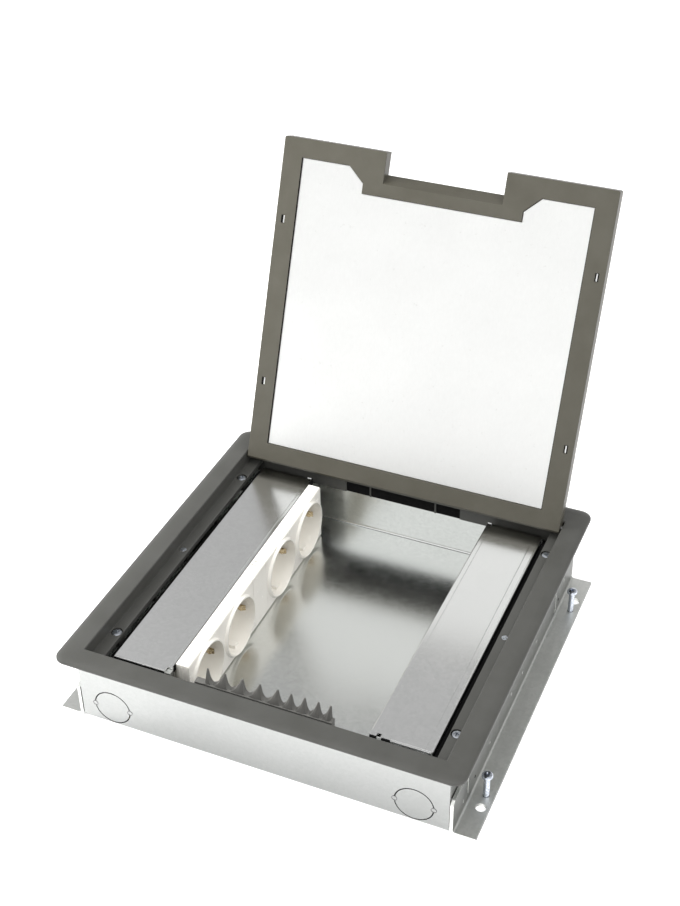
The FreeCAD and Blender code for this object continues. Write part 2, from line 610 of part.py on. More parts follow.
def earth_terminal():
    """Earthing stud on the box floor with its clamp plate and nut, in the wiring corner."""
    x, y = EARTH_PLACE
    stud = rod(2.0, vec(x, y, BASE_SHEET), Z_AXIS, 11)
    plate = box(x - 4.5, x + 4.5, y - 4.5, y + 4.5, BASE_SHEET, BASE_SHEET + 1.0)
    ring = [vec(x + 4.0 * math.cos(math.radians(60 * i)), y + 4.0 * math.sin(math.radians(60 * i)),
                BASE_SHEET + 1.0) for i in range(6)]
    nut = Part.Face(Part.makePolygon(ring + ring[:1])).extrude(vec(0, 0, 3.2))
    return fused([stud, plate, nut])


def build():
    nodes = {
        "bezel_frame": bezel_frame(),
        "lid_frame": as_open(lid_frame_shut()),
        "lid_plate": as_open(lid_plate_shut()),
        "hinge_pin_left": as_open(hinge_pin_shut(-1)),
        "hinge_pin_right": as_open(hinge_pin_shut(1)),
        "cable_comb": cable_comb(),
        "tub": tub(),
        "flange_bracket_left": flange_bracket(-1),
        "flange_bracket_right": flange_bracket(1),
        "frame_screws": frame_screws(),
        "left_cover": left_cover(),
        "right_cover": right_cover(),
        "socket_carrier": socket_carrier(),
        "bar_spacer": bar_spacer(),
        "earth_terminal": earth_terminal(),
    }
    for sx, across in ((-1, "left"), (1, "right")):
        for sy, along in ((-1, "front"), (1, "rear")):
            nodes["levelling_screw_" + along + "_" + across] = levelling_screw(sx, sy)
    for side, name in ((-1, "front"), (1, "rear")):
        nodes[name + "_socket_face"] = socket_face(side)
        nodes[name + "_socket_base"] = socket_base(side)
        nodes[name + "_earth_clips"] = earth_clips(side)
        nodes[name + "_pin_contacts"] = pin_contacts(side)
    return nodes


os.makedirs("parts", exist_ok=True)
for node_name, node_shape in build().items():
    node_shape.exportStep("parts/" + node_name + ".step")
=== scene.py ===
import math

import bmesh
import bpy
from mathutils import Matrix, Vector


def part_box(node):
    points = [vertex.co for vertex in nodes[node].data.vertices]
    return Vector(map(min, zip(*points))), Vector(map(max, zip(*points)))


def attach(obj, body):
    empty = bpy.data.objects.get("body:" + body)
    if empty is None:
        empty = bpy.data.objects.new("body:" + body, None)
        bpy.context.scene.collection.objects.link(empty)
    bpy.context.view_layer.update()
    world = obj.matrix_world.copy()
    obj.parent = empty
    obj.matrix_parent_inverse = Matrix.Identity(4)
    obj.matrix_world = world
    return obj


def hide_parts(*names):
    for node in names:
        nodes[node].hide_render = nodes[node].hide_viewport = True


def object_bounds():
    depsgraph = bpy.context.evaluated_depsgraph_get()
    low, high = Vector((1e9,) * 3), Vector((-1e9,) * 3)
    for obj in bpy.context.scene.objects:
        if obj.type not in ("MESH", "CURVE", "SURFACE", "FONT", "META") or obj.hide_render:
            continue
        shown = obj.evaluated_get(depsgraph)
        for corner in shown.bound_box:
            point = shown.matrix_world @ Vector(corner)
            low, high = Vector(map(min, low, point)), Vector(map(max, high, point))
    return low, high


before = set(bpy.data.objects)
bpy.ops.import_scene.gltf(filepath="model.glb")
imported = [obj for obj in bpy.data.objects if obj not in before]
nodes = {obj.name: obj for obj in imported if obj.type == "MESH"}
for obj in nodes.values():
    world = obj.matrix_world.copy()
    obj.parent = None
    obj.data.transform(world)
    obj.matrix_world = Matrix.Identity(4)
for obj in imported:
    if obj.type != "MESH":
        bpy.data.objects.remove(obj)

cad_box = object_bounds()


# ---- The studio ----
# A white floor and a white surround, lit by a broad lamp in front, one above and a small one
# near each side. Two grey cards hang out of sight behind and beside the box, for its metal to reflect.

def shader_of(name):
    """A new material's node tree with its output, ready for a shader."""
    material = bpy.data.materials.new(name)
    material.use_nodes = True
    tree = material.node_tree
    tree.nodes.clear()
    output = tree.nodes.new("ShaderNodeOutputMaterial")
    return material, tree, output


def flat_panel(name, size, centre, normal):
    """A flat card of a width and height, facing along its normal."""
    mesh = bpy.data.meshes.new(name)
    half_w, half_h = size[0] / 2, size[1] / 2
    corners = [(-half_w, -half_h, 0), (half_w, -half_h, 0), (half_w, half_h, 0), (-half_w, half_h, 0)]
    mesh.from_pydata(corners, [], [(0, 1, 2, 3)])
    card = bpy.data.objects.new(name, mesh)
    bpy.context.scene.collection.objects.link(card)
    card.rotation_euler = Vector(normal).to_track_quat("Z", "Y").to_euler()
    card.location = centre
    return card


def emission(tree, strength):
    glow = tree.nodes.new("ShaderNodeEmission")
    glow.inputs["Strength"].default_value = strength
    return glow


def seen_white(tree, lit, white):
    """Mixes in a white shader wherever the eye, a gloss or a clear part looks at it."""
    paths = tree.nodes.new("ShaderNodeLightPath")
    seen = paths.outputs["Is Camera Ray"]
    for ray in ("Is Glossy Ray", "Is Transmission Ray"):
        either = tree.nodes.new("ShaderNodeMath")
        either.operation = "MAXIMUM"
        tree.links.new(seen, either.inputs[0])
        tree.links.new(paths.outputs[ray], either.inputs[1])
        seen = either.outputs[0]
    mix = tree.nodes.new("ShaderNodeMixShader")
    tree.links.new(seen, mix.inputs[0])
    tree.links.new(lit, mix.inputs[1])
    tree.links.new(white, mix.inputs[2])
    return mix.outputs[0]


FLOOR_WHITE = 0.82
FLOOR_LIFT = 0.50
SURROUND_LEVEL = 0.66

floor = flat_panel("studio_floor", (9, 9), (0, 0, cad_box[0][2] - 0.0004), (0, 0, 1))
floor_paint, floor_tree, floor_out = shader_of("floor_paint")
floor_matt = floor_tree.nodes.new("ShaderNodeBsdfDiffuse")
floor_matt.inputs["Color"].default_value = (FLOOR_WHITE, FLOOR_WHITE, FLOOR_WHITE, 1)
floor_raised = floor_tree.nodes.new("ShaderNodeAddShader")
floor_tree.links.new(floor_matt.outputs[0], floor_raised.inputs[0])
floor_tree.links.new(emission(floor_tree, FLOOR_LIFT).outputs[0], floor_raised.inputs[1])
floor_shader = seen_white(floor_tree, floor_matt.outputs[0], floor_raised.outputs[0])
floor_tree.links.new(floor_shader, floor_out.inputs["Surface"])
floor.data.materials.append(floor_paint)

world = bpy.data.worlds.new("studio_surround")
bpy.context.scene.world = world
world.use_nodes = True
sky = world.node_tree
sky.nodes.clear()
sky_out = sky.nodes.new("ShaderNodeOutputWorld")
sky_lit = sky.nodes.new("ShaderNodeBackground")
sky_lit.inputs["Strength"].default_value = SURROUND_LEVEL
sky_white = sky.nodes.new("ShaderNodeBackground")
sky_white.inputs["Color"].default_value = (1, 1, 1, 1)
sky.links.new(seen_white(sky, sky_lit.outputs[0], sky_white.outputs[0]), sky_out.inputs["Surface"])

for card_name, card_size, card_centre, card_facing, card_level in (
    ("overhead_card", (3.6, 2.6), (0.0, 1.3, 1.5), (0, -0.55, -0.83), 0.46),
    ("left_card", (2.0, 1.6), (-1.5, 0.5, 0.8), (0.93, -0.2, -0.3), 0.62),
):
    card = flat_panel(card_name, card_size, card_centre, card_facing)
    card_paint, card_tree, card_out = shader_of(card_name + "_paint")
    card_tree.links.new(emission(card_tree, card_level).outputs[0], card_out.inputs["Surface"])
    card.data.materials.append(card_paint)
    card.visible_camera = False
    card.visible_shadow = False
    card.visible_diffuse = False

for lamp_name, lamp_place, lamp_aim, lamp_size, lamp_power in (
    ("front_lamp", (-0.7, -1.6, 1.5), (0, 0, 0.08), 1.4, 24.0),
    ("top_lamp", (0.5, 0.1, 1.9), (0, 0, 0.05), 1.2, 17.0),
    ("left_lamp", (-0.60, -0.05, 0.45), (-0.10, 0, 0.05), 0.35, 6.5),
    ("right_lamp", (0.90, -0.40, 0.70), (-0.05, 0, 0.04), 0.8, 4.2),
):
    lamp = bpy.data.lights.new(lamp_name, "AREA")
    lamp.shape = "SQUARE"
    lamp.size = lamp_size
    lamp.energy = lamp_power
    lamp_holder = bpy.data.objects.new(lamp_name, lamp)
    bpy.context.scene.collection.objects.link(lamp_holder)
    lamp_holder.location = lamp_place
    lamp_holder.rotation_euler = (Vector(lamp_aim) - Vector(lamp_place)).to_track_quat("-Z", "Y").to_euler()
    lamp_holder.visible_glossy = False

bpy.context.scene.view_settings.view_transform = "Standard"


# ---- The camera ----
# A long lens looks down on the box from its front right, with a very slight roll.

CAMERA_AZIMUTH = math.radians(23.87)
CAMERA_ELEVATION = math.radians(35.65)
CAMERA_ROLL = math.radians(-0.89)
CAMERA_DISTANCE = 1.0771
CAMERA_TARGET = Vector((-0.05597, 0.13323, 0.0522))

camera_data = bpy.data.cameras.new("camera")
camera_data.lens = 59.17
camera_data.sensor_width = 36.0
camera_data.clip_start = 0.05
camera = bpy.data.objects.new("camera", camera_data)
bpy.context.scene.collection.objects.link(camera)
away = Vector((
    math.sin(CAMERA_AZIMUTH) * math.cos(CAMERA_ELEVATION),
    -math.cos(CAMERA_AZIMUTH) * math.cos(CAMERA_ELEVATION),
    math.sin(CAMERA_ELEVATION),
))
right = Vector((math.cos(CAMERA_AZIMUTH), math.sin(CAMERA_AZIMUTH), 0))
level = Matrix((right, away.cross(right), away)).transposed()
camera.location = CAMERA_TARGET + away * CAMERA_DISTANCE
camera.rotation_euler = (level @ Matrix.Rotation(CAMERA_ROLL, 3, "Z")).to_euler()
bpy.context.scene.camera = camera


# ---- The tub ----
# A box folded from galvanised sheet, with conduit knockouts in its front and back walls.
# Each knockout's two nibs are ringed by the punch that leaves them, drawn as dark beads of painted shade for
# the punched groove.

def surface(material_name):
    """A Principled surface with its material and node tree."""
    material, tree, output = shader_of(material_name)
    principled = tree.nodes.new("ShaderNodeBsdfPrincipled")
    tree.links.new(principled.outputs[0], output.inputs["Surface"])
    return material, tree, principled


def noise(tree, scale, detail=3.0, roughness=0.5, stretch=(1, 1, 1)):
    """Noise laid over the part in its own space, stretched along an axis where asked."""
    position = tree.nodes.new("ShaderNodeTexCoord")
    mapping = tree.nodes.new("ShaderNodeMapping")
    mapping.inputs["Scale"].default_value = stretch
    texture = tree.nodes.new("ShaderNodeTexNoise")
    texture.inputs["Scale"].default_value = scale
    texture.inputs["Detail"].default_value = detail
    texture.inputs["Roughness"].default_value = roughness
    tree.links.new(position.outputs["Object"], mapping.inputs["Vector"])
    tree.links.new(mapping.outputs["Vector"], texture.inputs["Vector"])
    return texture.outputs["Fac"]


def ranged(tree, value, low, high):
    """Maps the middle of a noise to a range."""
    node = tree.nodes.new("ShaderNodeMapRange")
    node.inputs["From Min"].default_value = 0.3
    node.inputs["From Max"].default_value = 0.7
    node.inputs["To Min"].default_value = low
    node.inputs["To Max"].default_value = high
    tree.links.new(value, node.inputs["Value"])
    return node.outputs["Result"]


def two_tone(tree, value, dark, light, start=0.3, end=0.7):
    ramp = tree.nodes.new("ShaderNodeValToRGB")
    ramp.color_ramp.elements[0].position = start
    ramp.color_ramp.elements[0].color = (*dark, 1)
    ramp.color_ramp.elements[1].position = end
    ramp.color_ramp.elements[1].color = (*light, 1)
    tree.links.new(value, ramp.inputs["Fac"])
    return ramp.outputs["Color"]


def blend(tree, factor, a, b):
    """Mixes two values by a fixed share."""
    mix = tree.nodes.new("ShaderNodeMix")
    mix.inputs["Factor"].default_value = factor
    tree.links.new(a, mix.inputs["A"])
    tree.links.new(b, mix.inputs["B"])
    return mix.outputs["Result"]


def relief(tree, principled, height, strength, depth, edge_radius=None):
    """Fine bump, over edges that are eased by a small radius."""
    bump = tree.nodes.new("ShaderNodeBump")
    bump.inputs["Strength"].default_value = strength
    bump.inputs["Distance"].default_value = depth
    tree.links.new(height, bump.inputs["Height"])
    if edge_radius:
        eased = tree.nodes.new("ShaderNodeBevel")
        eased.samples = 4
        eased.inputs["Radius"].default_value = edge_radius
        tree.links.new(eased.outputs["Normal"], bump.inputs["Normal"])
    tree.links.new(bump.outputs["Normal"], principled.inputs["Normal"])


def masked(tree, colour, mask, share):
    """Scales a colour by a share where a mask is 1."""
    scaled = tree.nodes.new("ShaderNodeMix")
    scaled.data_type = "RGBA"
    scaled.blend_type = "MULTIPLY"
    scaled.inputs["B"].default_value = (share, share, share, 1)
    tree.links.new(mask, scaled.inputs["Factor"])
    tree.links.new(colour, scaled.inputs["A"])
    return scaled.outputs["Result"]


def side_facing(tree, axis_name):
    """1 on faces that look along an axis of the part, 0 on those across it."""
    position = tree.nodes.new("ShaderNodeTexCoord")
    parts = tree.nodes.new("ShaderNodeSeparateXYZ")
    tree.links.new(position.outputs["Normal"], parts.inputs[0])
    size = tree.nodes.new("ShaderNodeMath")
    size.operation = "ABSOLUTE"
    tree.links.new(parts.outputs[axis_name], size.inputs[0])
    return size.outputs[0]


def outside(tree, half):
    """1 where the part's own X or Y is beyond a half width, 0 within it."""
    position = tree.nodes.new("ShaderNodeTexCoord")
    parts = tree.nodes.new("ShaderNodeSeparateXYZ")
    tree.links.new(position.outputs["Object"], parts.inputs[0])
    found = None
    for axis_name in "XY":
        size = tree.nodes.new("ShaderNodeMath")
        size.operation = "ABSOLUTE"
        tree.links.new(parts.outputs[axis_name], size.inputs[0])
        beyond = tree.nodes.new("ShaderNodeMath")
        beyond.operation = "GREATER_THAN"
        beyond.inputs[1].default_value = half
        tree.links.new(size.outputs[0], beyond.inputs[0])
        if found:
            either = tree.nodes.new("ShaderNodeMath")
            either.operation = "MAXIMUM"
            tree.links.new(found, either.inputs[0])
            tree.links.new(beyond.outputs[0], either.inputs[1])
            found = either.outputs[0]
        else:
            found = beyond.outputs[0]
    return found


def zinc_coat(name, dark, light, dullness, lay, painted_shade_mask=None, painted_shade_share=1.0):
    """Skin-passed galvanised sheet: a soft cloud, a faint spangle and fine rolling lines, with painted shade
    where a mask is given.
    """
    material, tree, principled = surface(name)
    cells = tree.nodes.new("ShaderNodeTexVoronoi")
    cells.inputs["Scale"].default_value = 520
    position = tree.nodes.new("ShaderNodeTexCoord")
    tree.links.new(position.outputs["Object"], cells.inputs["Vector"])
    cell_tone = tree.nodes.new("ShaderNodeSeparateColor")
    tree.links.new(cells.outputs["Color"], cell_tone.inputs[0])
    cloud = noise(tree, 16, 3.0, 0.5)
    rolled = noise(tree, 420, 3.0, 0.6, lay)
    tone = blend(tree, 0.22, blend(tree, 0.45, cloud, rolled), cell_tone.outputs[0])
    colour = two_tone(tree, tone, dark, light)
    # painted shade: the colour is scaled down by a share where the mask is 1
    if painted_shade_mask:
        colour = masked(tree, colour, painted_shade_mask(tree), painted_shade_share)
    tree.links.new(colour, principled.inputs["Base Color"])
    tree.links.new(ranged(tree, tone, *dullness), principled.inputs["Roughness"])
    principled.inputs["Metallic"].default_value = 1.0
    relief(tree, principled, rolled, 0.035, 0.0002, 0.0004)
    return material


def finish_node(node_name, material):
    """Gives a CAD node its material."""
    mesh = nodes[node_name].data
    mesh.materials.clear()
    mesh.materials.append(material)


def add_piece(name, bm, body, material, smooth_angle=None):
    """Turns a bmesh into a piece that rides on a body."""
    mesh = bpy.data.meshes.new(name)
    bmesh.ops.recalc_face_normals(bm, faces=bm.faces)
    bm.to_mesh(mesh)
    bm.free()
    mesh.materials.append(material)
    made = bpy.data.objects.new(name, mesh)
    bpy.context.scene.collection.objects.link(made)
    if smooth_angle:
        mesh.shade_smooth()
        mesh.set_sharp_from_angle(angle=math.radians(smooth_angle))
    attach(made, body)
    return made


def add_tube_ring(bm, centre, axis, radius, thick, around=28, across=8):
    """A thin round bead that lies in the plane across an axis."""
    turn = Vector(axis).to_track_quat("Z", "Y").to_matrix()
    rows = []
    for i in range(around):
        angle = 2 * math.pi * i / around
        out = Vector((math.cos(angle), math.sin(angle), 0))
        row = []
        for j in range(across):
            lean = 2 * math.pi * j / across
            point = out * (radius + thick * math.cos(lean)) + Vector((0, 0, thick * math.sin(lean)))
            row.append(bm.verts.new(Vector(centre) + turn @ point))
        rows.append(row)
    for i in range(around):
        for j in range(across):
            near_row, far_row = rows[i], rows[(i + 1) % around]
            k = (j + 1) % across
            bm.faces.new((near_row[j], far_row[j], far_row[k], near_row[k]))


KNOCKOUT_X = 0.1000
KNOCKOUT_Z = 0.0148
NIB_REACH = 0.0122        # from the knockout's middle to the middle of each nib
NIB_RING_R = 0.00165
NIB_BEAD = 0.00024

# painted shade: the outside faces of the walls are coloured darker than the inside
TUB_SHADED_BEYOND = 0.1211
TUB_PAINTED_SHADE_SHARE = 0.49
tub_zinc = zinc_coat("tub_zinc", (0.79, 0.805, 0.79), (0.86, 0.875, 0.86), (0.17, 0.24), (1, 10, 1),
                     lambda tree: outside(tree, TUB_SHADED_BEYOND), TUB_PAINTED_SHADE_SHARE)
finish_node("tub", tub_zinc)

tub_low, tub_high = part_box("tub")
# dark zinc for the rings: painted shade of the punched grooves
groove_shade_zinc = zinc_coat("groove_shade_zinc", (0.22, 0.22, 0.22), (0.34, 0.34, 0.34), (0.35, 0.5), (1, 1, 1))
for wall, wall_y in (("front", tub_low[1]), ("rear", tub_high[1])):
    rings = bmesh.new()
    for knockout_x in (-KNOCKOUT_X, KNOCKOUT_X):
        for nib_x in (knockout_x - NIB_REACH, knockout_x + NIB_REACH):
            add_tube_ring(rings, (nib_x, wall_y, KNOCKOUT_Z), (0, 1, 0), NIB_RING_R, NIB_BEAD)
    add_piece(f"{wall}_knockout_nib_rings", rings, "floor_box", groove_shade_zinc, 40)


# ---- The flange brackets ----
# Folded galvanised angles on the two sides, spot-welded to the tub by their slit tongues.
# Their flanges lie on the subfloor; the webs have pressed pips and small drain holes.

def add_dome(bm, centre, axis, radius, height, around=20, rows=5):
    """A low round pip standing on a plane across an axis."""
    turn = Vector(axis).to_track_quat("Z", "Y").to_matrix()
    rings = []
    for i in range(rows):
        lean = (math.pi / 2) * i / rows
        r, h = radius * math.cos(lean), height * math.sin(lean)
        rings.append([
            bm.verts.new(Vector(centre) + turn @ Vector((
                r * math.cos(2 * math.pi * k / around), r * math.sin(2 * math.pi * k / around), h)))
            for k in range(around)
        ])
    crown = bm.verts.new(Vector(centre) + turn @ Vector((0, 0, height)))
    foot = bm.verts.new(Vector(centre) - turn @ Vector((0, 0, height * 0.2)))
    for lower, upper in zip(rings, rings[1:]):
        for k in range(around):
            j = (k + 1) % around
            bm.faces.new((lower[k], lower[j], upper[j], upper[k]))
    for k in range(around):
        j = (k + 1) % around
        bm.faces.new((rings[-1][k], rings[-1][j], crown))
        bm.faces.new((rings[0][j], rings[0][k], foot))


WEB_FACE = 0.1241
WEB_PAINTED_SHADE_SHARE = 0.28          # painted shade: the share of the flanges' brightness left on the upright webs
PIP_PLACES = ((0.038, 0.0135), (0.008, 0.0125), (-0.015, 0.0145), (-0.056, 0.0115))
PIP_R = 0.0013
PIP_HEIGHT = 0.0005
DRAIN_PLACES = (-0.0832, 0.0882)
DRAIN_R = 0.0011
DRAIN_Z = 0.0092
DRAIN_PROUD = 0.00004
DRAIN_DOME = 0.00006

# painted shade: faces that look along X, the upright webs, are coloured darker
bracket_zinc = zinc_coat("bracket_zinc", (0.86, 0.875, 0.84), (0.97, 0.98, 0.95), (0.42, 0.52), (1, 0.12, 1),
                         lambda tree: side_facing(tree, "X"), WEB_PAINTED_SHADE_SHARE)

# a matt black for painted shade: in the drain holes, and in the dark gaps further on
painted_shade_black, gap_tree, gap_principled = surface("painted_shade_black")
gap_tone = noise(gap_tree, 900)
gap_tree.links.new(two_tone(gap_tree, gap_tone, (0.004, 0.004, 0.004), (0.010, 0.010, 0.010)),
                   gap_principled.inputs["Base Color"])
gap_principled.inputs["Roughness"].default_value = 0.9
gap_principled.inputs["Specular IOR Level"].default_value = 0.1

for side, side_name in ((-1, "left"), (1, "right")):
    finish_node(f"flange_bracket_{side_name}", bracket_zinc)
    pips = bmesh.new()
    for y, z in PIP_PLACES:
        add_dome(pips, (side * WEB_FACE, side * y, z), (side, 0, 0), PIP_R, PIP_HEIGHT)
    add_piece(f"bracket_pips_{side_name}", pips, "floor_box", bracket_zinc, 40)
    # each drain hole is a flat black dome: painted shade inside the hole
    drains = bmesh.new()
    for y in DRAIN_PLACES:
        drain_place = (side * (WEB_FACE + DRAIN_PROUD), side * y, DRAIN_Z)
        add_dome(drains, drain_place, (side, 0, 0), DRAIN_R, DRAIN_DOME)
    add_piece(f"bracket_drain_hole_shades_{side_name}", drains, "floor_box", painted_shade_black, 40)


# ---- The levelling screws ----
# Four zinc-plated pan-head screws that stand in the flanges and lift the box to the floor's level.
# They are cold-headed with a cross recess, thread-rolled, and plated with a bluish cast.

def plated_steel(name, dark, light, dullness):
    """Bright zinc plate on a small turned or headed part."""
    material, tree, principled = surface(name)
    mottle = noise(tree, 900, 3.0)
    tree.links.new(two_tone(tree, mottle, dark, light), principled.inputs["Base Color"])
    tree.links.new(ranged(tree, mottle, *dullness), principled.inputs["Roughness"])
    principled.inputs["Metallic"].default_value = 1.0
    relief(tree, principled, mottle, 0.08, 0.0001)
    return material


def add_turned(bm, x, y, profile, around=32):
    """A turned solid standing along Z, from (radius, height) points, closed at both ends."""
    rings = []
    for radius, height in profile:
        rings.append([
            bm.verts.new((x + radius * math.cos(2 * math.pi * k / around),
                          y + radius * math.sin(2 * math.pi * k / around), height))
            for k in range(around)
        ])
    for lower, upper in zip(rings, rings[1:]):
        for k in range(around):
            j = (k + 1) % around
            bm.faces.new((lower[k], lower[j], upper[j], upper[k]))
    bm.faces.new(list(reversed(rings[0])))
    bm.faces.new(rings[-1])


def add_thread(bm, x, y, bottom, top, radius, pitch, depth, around=20, steps=5):
    """A rolled thread: the radius follows a ridge that climbs one pitch a turn."""
    rows = int((top - bottom) / pitch * steps)
    rings = []
    for i in range(rows + 1):
        z = bottom + (top - bottom) * i / rows
        ring = []
        for k in range(around):
            phase = ((z - bottom) / pitch - k / around) % 1.0
            r = radius - depth * abs(2 * phase - 1)
            angle = 2 * math.pi * k / around
            ring.append(bm.verts.new((x + r * math.cos(angle), y + r * math.sin(angle), z)))
        rings.append(ring)
    for lower, upper in zip(rings, rings[1:]):
        for k in range(around):
            j = (k + 1) % around
            bm.faces.new((lower[k], lower[j], upper[j], upper[k]))
    bm.faces.new(list(reversed(rings[0])))
    bm.faces.new(rings[-1])


def pan_profile(radius, bottom, top):
    """Half section of a pan head, eased under its flat crown."""
    foot = 0.0002
    ease = 0.0010
    points = [(radius - foot, bottom), (radius, bottom + foot), (radius, top - ease)]
    for step in range(1, 6):
        lean = math.radians(18 * step)
        points.append((radius - ease * 1.4 * (1 - math.cos(lean)), top - ease + ease * math.sin(lean)))
    points.append((radius * 0.35, top + 0.00008))
    return points


def cross_recessed(bm, x, y, top, reach, turn):
    """Cuts a tapered cross recess into the crown of a head and returns the cut mesh."""
    head_mesh = bpy.data.meshes.new("head_blank")
    bm.to_mesh(head_mesh)
    bm.free()
    head = bpy.data.objects.new("head_blank", head_mesh)
    bpy.context.scene.collection.objects.link(head)
    tool_bm = bmesh.new()
    for quarter in (0, 1):
        angle = turn + quarter * math.pi / 2
        along = Vector((math.cos(angle), math.sin(angle), 0))
        across = Vector((-math.sin(angle), math.cos(angle), 0))
        corners = []
        for length, half, z in ((reach * 0.45, RECESS_FLOOR_HALF, top - RECESS_DEPTH),
                                (reach, RECESS_MOUTH_HALF, top + 0.0004)):
            for a, b in ((-1, -1), (1, -1), (1, 1), (-1, 1)):
                place = Vector((x, y, z)) + along * (a * length) + across * (b * half)
                corners.append(tool_bm.verts.new(place))
        tool_bm.faces.new((corners[3], corners[2], corners[1], corners[0]))
        tool_bm.faces.new(corners[4:])
        for k in range(4):
            j = (k + 1) % 4
            tool_bm.faces.new((corners[k], corners[j], corners[4 + j], corners[4 + k]))
    tool_mesh = bpy.data.meshes.new("cross_punch")
    bmesh.ops.recalc_face_normals(tool_bm, faces=tool_bm.faces)
    tool_bm.to_mesh(tool_mesh)
    tool_bm.free()
    tool = bpy.data.objects.new("cross_punch", tool_mesh)
    bpy.context.scene.collection.objects.link(tool)
    cut = head.modifiers.new("recess", "BOOLEAN")
    cut.operation = "DIFFERENCE"
    cut.solver = "EXACT"
    cut.use_self = True
    cut.object = tool
    shaped = head.evaluated_get(bpy.context.evaluated_depsgraph_get()).to_mesh()
    result = bmesh.new()
    result.from_mesh(shaped)
    head.evaluated_get(bpy.context.evaluated_depsgraph_get()).to_mesh_clear()
    for spent in (head, tool):
        bpy.data.objects.remove(spent)
    return result


def pan_screw(x, y, bottom, top, head_radius, shank_radius, turn):
    """A threaded shank under a pan head with its cross recess, as one bmesh."""
    head_bottom = top - PAN_RISE
    head = bmesh.new()
    add_turned(head, x, y, pan_profile(head_radius, head_bottom, top))
    screw = cross_recessed(head, x, y, top, head_radius * RECESS_SHARE, turn)
    neck = head_bottom - NECK_LENGTH
    add_thread(screw, x, y, bottom, neck, shank_radius, THREAD_PITCH, THREAD_DEPTH)
    plain_neck = [(shank_radius - THREAD_DEPTH, neck - 0.0001), (shank_radius - 0.0001, head_bottom)]
    add_turned(screw, x, y, plain_neck, 20)
    return screw


PAN_RISE = 0.0021
NECK_LENGTH = 0.0010
THREAD_PITCH = 0.0007
THREAD_DEPTH = 0.00016
LEVEL_SHANK_R = 0.0019
RECESS_SHARE = 0.52       # reach of the cross recess, as a share of the head's radius
RECESS_DEPTH = 0.0011
RECESS_FLOOR_HALF = 0.00022
RECESS_MOUTH_HALF = 0.00042

screw_zinc = plated_steel("screw_zinc", (0.42, 0.46, 0.54), (0.84, 0.88, 0.95), (0.10, 0.20))
for along, turn in (("front", 0.4), ("rear", 1.1)):
    for across in ("left", "right"):
        node_name = f"levelling_screw_{along}_{across}"
        low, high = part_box(node_name)
        middle_x, middle_y = (low[0] + high[0]) / 2, (low[1] + high[1]) / 2
        head_r = (high[0] - low[0]) / 2
        screw = pan_screw(middle_x, middle_y, low[2], high[2], head_r, LEVEL_SHANK_R, turn)
        made = add_piece(f"{node_name}_threaded", screw, node_name, screw_zinc, 35)
        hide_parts(node_name)


# ---- The socket carrier ----
# A small folded angle welded to the tub's floor, which holds the socket bar upright.
# The brass earthing stud stands at the front of the wiring space beside it.

# it takes the brackets' zinc, with the painted shade on its faces that look along X
finish_node("socket_carrier", bracket_zinc)
brass = plated_steel("contact_brass", (0.30, 0.22, 0.12), (0.70, 0.58, 0.38), (0.18, 0.32))
finish_node("earth_terminal", brass)


# ---- The sockets ----
# Two twin sockets moulded in a glossy ivory plastic, with a plain spacer between them.
# Brass clips and contacts sit in the wells, and the ends of the bar are ribbed.

def moulded_ivory(name, shade, lit, dullness):
    """Glossy ivory thermoset with a barely uneven skin."""
    material, tree, principled = surface(name)
    tone = noise(tree, 120, 3.0)
    tree.links.new(two_tone(tree, tone, shade, lit), principled.inputs["Base Color"])
    tree.links.new(ranged(tree, tone, *dullness), principled.inputs["Roughness"])
    relief(tree, principled, noise(tree, 1400, 2.0), 0.03, 0.0001, 0.0006)
    return material


def add_block(bm, low, high, ease=0.0):
    """A block between two corners, its edges eased."""
    made = bmesh.ops.create_cube(bm, size=1.0)["verts"]
    size = Vector(high) - Vector(low)
    middle = (Vector(high) + Vector(low)) / 2
    for vert in made:
        vert.co = Vector((vert.co.x * size.x, vert.co.y * size.y, vert.co.z * size.z)) + middle
    if ease:
        edges = list({edge for vert in made for edge in vert.link_edges})
        bmesh.ops.bevel(bm, geom=edges, offset=ease, segments=2, affect="EDGES", profile=0.6)


ivory = moulded_ivory("ivory_moulding", (0.925, 0.895, 0.83), (0.94, 0.915, 0.855), (0.20, 0.28))
base_white = moulded_ivory("base_moulding", (0.74, 0.73, 0.68), (0.82, 0.81, 0.76), (0.5, 0.6))
for along in ("front", "rear"):
    finish_node(f"{along}_socket_face", ivory)
    finish_node(f"{along}_socket_base", base_white)
    finish_node(f"{along}_earth_clips", brass)
    finish_node(f"{along}_pin_contacts", brass)
finish_node("bar_spacer", ivory)

# two narrow release slots on top of the spacer are drawn as thin grey marks, painted shade for the slots
spacer_low, spacer_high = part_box("bar_spacer")
BAR_BACK = -0.0654
MARK_FROM, MARK_TO = BAR_BACK + 0.0006, BAR_BACK + 0.0048
MARK_PLACES = (0.0036, 0.0074)
MARK_WIDTH = 0.0008
slot_shade_ivory = moulded_ivory("spacer_slot_shade_moulding", (0.30, 0.29, 0.26), (0.38, 0.37, 0.34), (0.4, 0.5))
marks = bmesh.new()
for mark_y in MARK_PLACES:
    add_block(marks, (MARK_FROM, mark_y, spacer_high[2] - 0.0003),
              (MARK_TO, mark_y + MARK_WIDTH, spacer_high[2] + 0.0001))
add_piece("spacer_release_slots", marks, "floor_box", slot_shade_ivory)

BAR_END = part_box("front_socket_face")[0][1]
END_RIBS = 4
RIB_PITCH, RIB_WIDTH = 0.0020, 0.0009
RIB_HALF = 0.00014
RIB_FOOT_Z = 0.0030
for end_name, end_y in (("front", BAR_END), ("rear", -BAR_END)):
    ribs = bmesh.new()
    for i in range(END_RIBS):
        rib_x = spacer_low[0] + 0.0012 + i * RIB_PITCH
        add_block(ribs, (rib_x, end_y - RIB_HALF, RIB_FOOT_Z),
                  (rib_x + RIB_WIDTH, end_y + RIB_HALF, spacer_high[2] - 0.0012), 0.0001)
    add_piece(f"bar_end_ribs_{end_name}", ribs, "floor_box", ivory)

